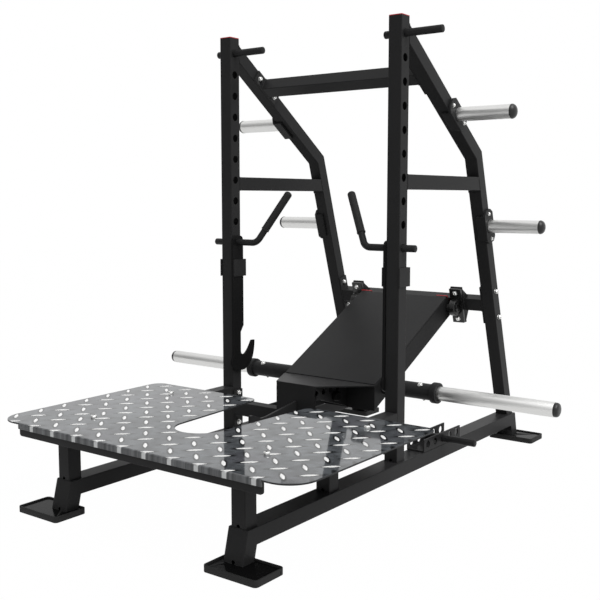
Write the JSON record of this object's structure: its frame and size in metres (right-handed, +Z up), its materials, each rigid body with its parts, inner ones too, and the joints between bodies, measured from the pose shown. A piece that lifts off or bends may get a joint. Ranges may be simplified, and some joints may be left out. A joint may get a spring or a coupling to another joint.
{
  "type": "belt squat machine",
  "caption": "Free-standing belt squat machine: tube frame with tread plate platform, weighted rear-pivot lever with belt hook, swinging catch hooks, band pegs and plate storage horns.",
  "frame": {"origin": "on the floor, under the middle of the machine's bounding box", "axes": "+X across the machine to the side of the long upper peg end, +Y from the platform to the rear, +Z up"},
  "size_m": [1.732, 1.8844, 1.5883],
  "materials": {
    "powder_coat": "satin black powder coat",
    "chrome": "polished",
    "tread_steel": "glossy tread plate",
    "rubber": "matte moulded",
    "black_plastic": "satin",
    "red_plastic": "satin red"
  },
  "bodies": {
    "frame": {"base_rail_left": "powder_coat", "base_rail_right": "powder_coat", "foot_pad_front_left": "rubber", "foot_pad_rear_left": "rubber", "foot_pad_front_right": "rubber", "foot_pad_rear_right": "rubber", "upright_left": "powder_coat", "upright_cap_left": "red_plastic", "upright_right": "powder_coat", "upright_cap_right": "red_plastic", "rear_frame_left": "powder_coat", "side_bar_left": "powder_coat", "rear_frame_right": "powder_coat", "side_bar_right": "powder_coat", "upper_cross_beam": "powder_coat", "low_cross_beam": "powder_coat", "pivot_cross_beam": "powder_coat", "pivot_bearing_left": "black_plastic", "pivot_bearing_right": "black_plastic", "tread_plate": "tread_steel", "platform_front_member": "powder_coat", "platform_beam_left": "powder_coat", "front_post_left": "powder_coat", "middle_post_left": "powder_coat", "platform_beam_right": "powder_coat", "front_post_right": "powder_coat", "middle_post_right": "powder_coat", "storage_bracket_upper_left": "powder_coat", "storage_horn_upper_left": "chrome", "storage_bracket_lower_left": "powder_coat", "storage_horn_lower_left": "chrome", "storage_bracket_upper_right": "powder_coat", "storage_horn_upper_right": "chrome", "storage_bracket_lower_right": "powder_coat", "storage_horn_lower_right": "chrome", "peg_bracket_left": "powder_coat", "peg_bracket_right": "powder_coat", "lever_stop": "rubber"},
    "lever": {"lever_frame": "powder_coat", "lever_cover": "powder_coat", "pivot_shaft": "chrome", "weight_shaft": "powder_coat", "weight_sleeve_left": "chrome", "sleeve_cap_left": "black_plastic", "weight_sleeve_right": "chrome", "sleeve_cap_right": "black_plastic", "belt_hook": "powder_coat"},
    "hook_left": {"hook_bar_left": "powder_coat", "hook_guide_left": "powder_coat", "hook_handle_left": "powder_coat", "hook_grip_left": "rubber"},
    "hook_right": {"hook_bar_right": "powder_coat", "hook_guide_right": "powder_coat", "hook_handle_right": "powder_coat", "hook_grip_right": "rubber"},
    "peg_upper_left": {"band_peg_upper_left": "powder_coat"},
    "peg_upper_right": {"band_peg_upper_right": "powder_coat"},
    "peg_lower_left": {"band_peg_lower_left": "powder_coat"},
    "peg_lower_right": {"band_peg_lower_right": "powder_coat"},
    "belt_hook_pin": {"hook_pin": "black_plastic"}
  },
  "joints": [
    {"name": "lever_pivot", "type": "hinge", "parent": "frame", "child": "lever", "pos_m": [0, 0.62927, 0.56061], "axis": [-1, 0, 0], "range_deg": [0, 42]},
    {"name": "hook_swing_left", "type": "hinge", "parent": "frame", "child": "hook_left", "pos_m": [-0.364, -0.0435, 0.83353], "axis": [1, 0, 0], "range_deg": [-4, 20]},
    {"name": "hook_swing_right", "type": "hinge", "parent": "frame", "child": "hook_right", "pos_m": [0.364, -0.0435, 0.83353], "axis": [1, 0, 0], "range_deg": [-4, 20]},
    {"name": "peg_pull_upper_left", "type": "slide", "parent": "frame", "child": "peg_upper_left", "axis": [1, 0, 0], "range_m": [0, 0.08]},
    {"name": "peg_pull_upper_right", "type": "slide", "parent": "frame", "child": "peg_upper_right", "axis": [1, 0, 0], "range_m": [0, 0.08]},
    {"name": "peg_pull_lower_left", "type": "slide", "parent": "frame", "child": "peg_lower_left", "axis": [-1, 0, 0], "range_m": [0, 0.085]},
    {"name": "peg_pull_lower_right", "type": "slide", "parent": "frame", "child": "peg_lower_right", "axis": [1, 0, 0], "range_m": [0, 0.085]},
    {"name": "hook_pin_pull", "type": "slide", "parent": "lever", "child": "belt_hook_pin", "axis": [1, 0, 0], "range_m": [0, 0.18]}
  ]
}
